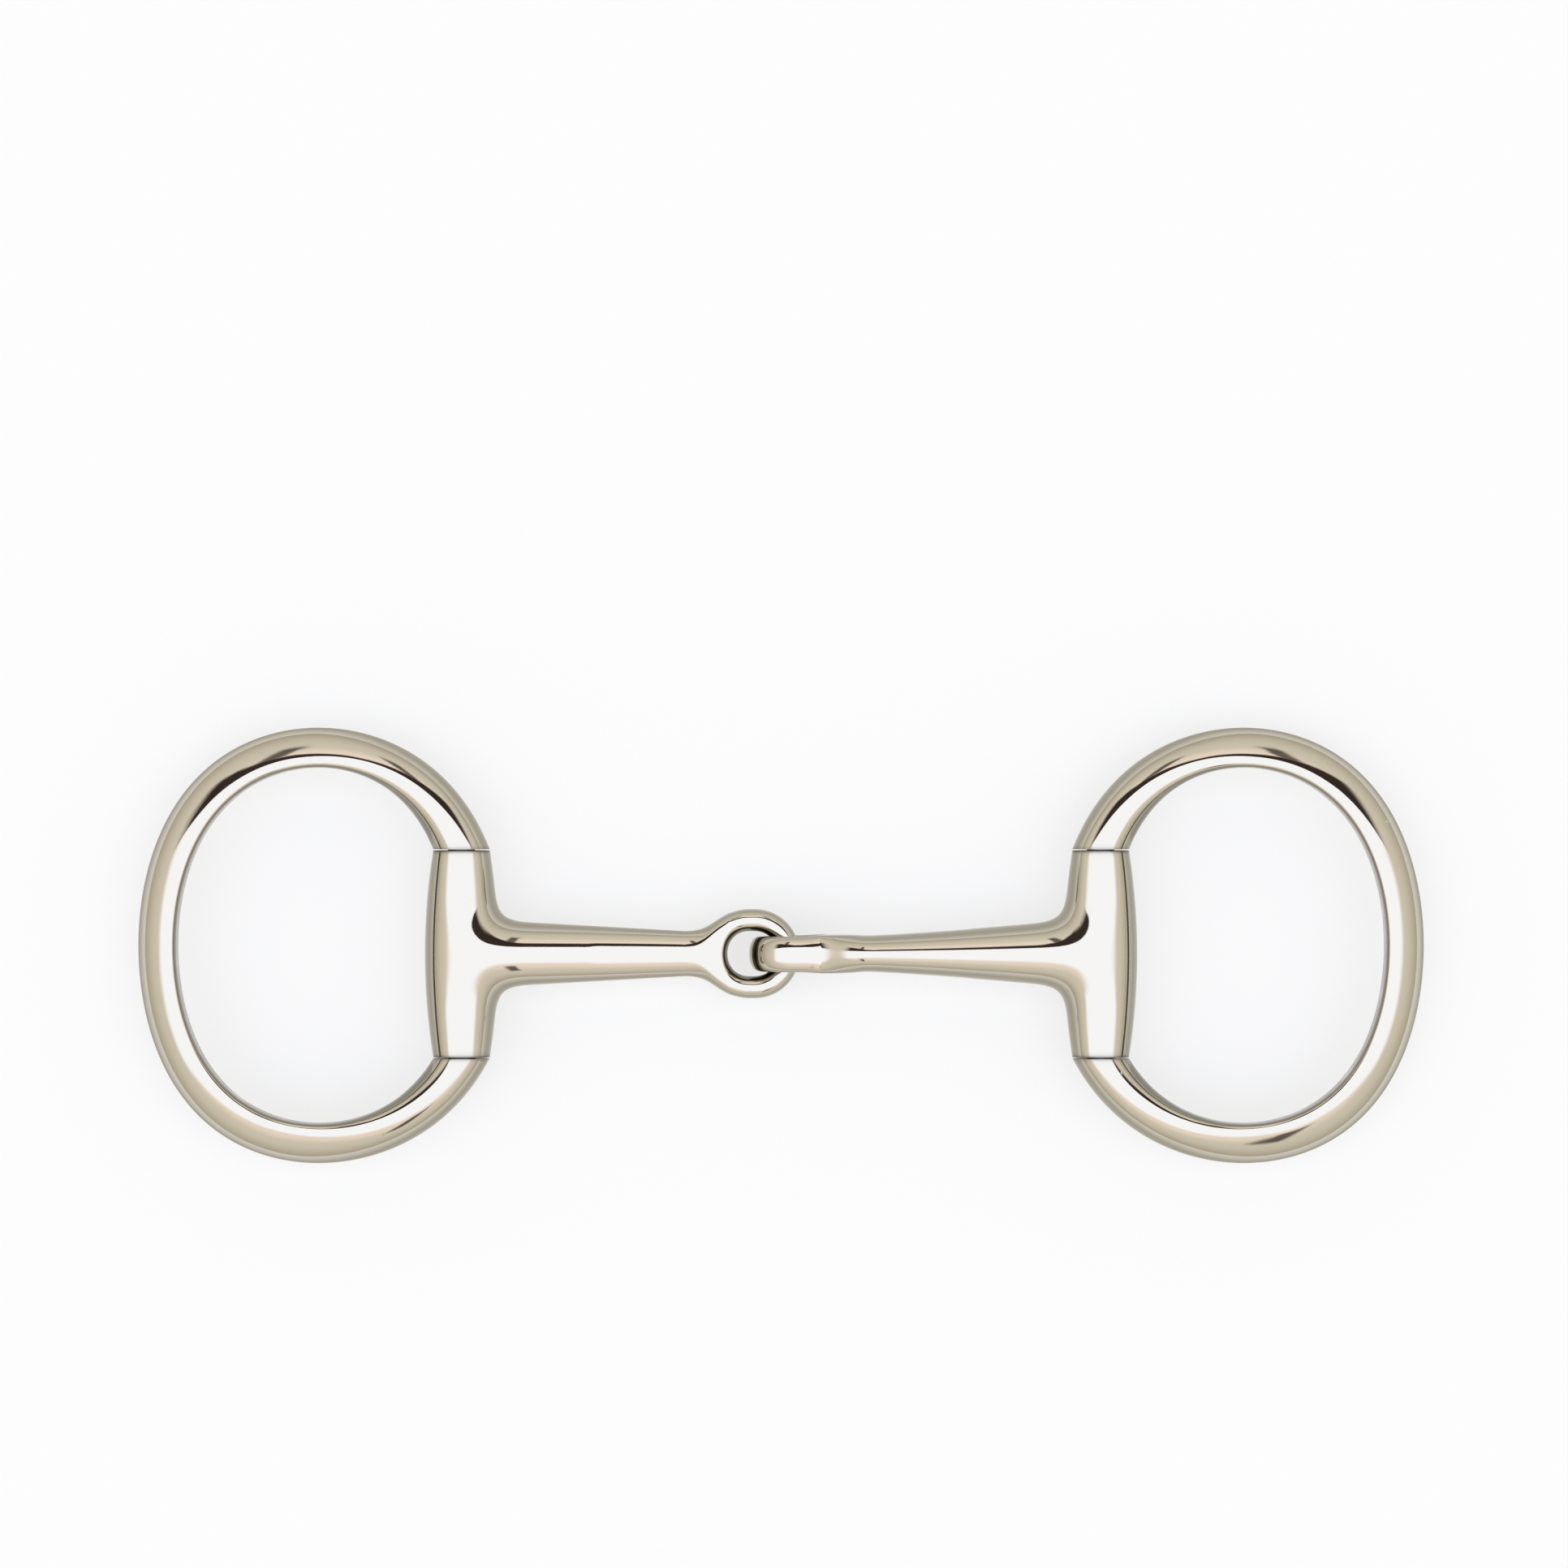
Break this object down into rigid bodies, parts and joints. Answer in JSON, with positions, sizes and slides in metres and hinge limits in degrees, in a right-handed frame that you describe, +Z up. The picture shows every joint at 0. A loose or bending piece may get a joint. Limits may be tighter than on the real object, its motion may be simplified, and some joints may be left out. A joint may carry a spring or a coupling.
{
  "type": "snaffle bit",
  "caption": "Polished single-jointed eggbutt snaffle bit: two tapered mouthpiece halves linked by eyes, and two oval cheek rings on hinge pins.",
  "frame": {"origin": "on the surface the bit lies on, under the middle of its bounding box", "axes": "+X from the left cheek ring to the right one, +Y along the barrels towards the larger lobe of the rings, +Z up"},
  "size_m": [0.2804, 0.095, 0.0195],
  "materials": {
    "mouthpiece_metal": "polished",
    "ring_metal": "polished",
    "pin_steel": "ground"
  },
  "bodies": {
    "left_arm": {"left_mouthpiece": "mouthpiece_metal"},
    "right_arm": {"right_mouthpiece": "mouthpiece_metal"},
    "left_cheek": {"left_ring": "ring_metal", "left_hinge_pin": "pin_steel"},
    "right_cheek": {"right_ring": "ring_metal", "right_hinge_pin": "pin_steel"}
  },
  "joints": [
    {"name": "center_fold", "type": "hinge", "parent": "left_arm", "child": "right_arm", "pos_m": [0.00345, -0.0018, 0.00975], "axis": [0, 1, 0], "range_deg": [-80, 80]},
    {"name": "left_ring_swing", "type": "hinge", "parent": "left_arm", "child": "left_cheek", "pos_m": [-0.0697, -0.0018, 0.00975], "axis": [0, 1, 0], "range_deg": [-90, 90]},
    {"name": "right_ring_swing", "type": "hinge", "parent": "right_arm", "child": "right_cheek", "pos_m": [0.0697, -0.0018, 0.00975], "axis": [0, 1, 0], "range_deg": [-90, 90]}
  ]
}
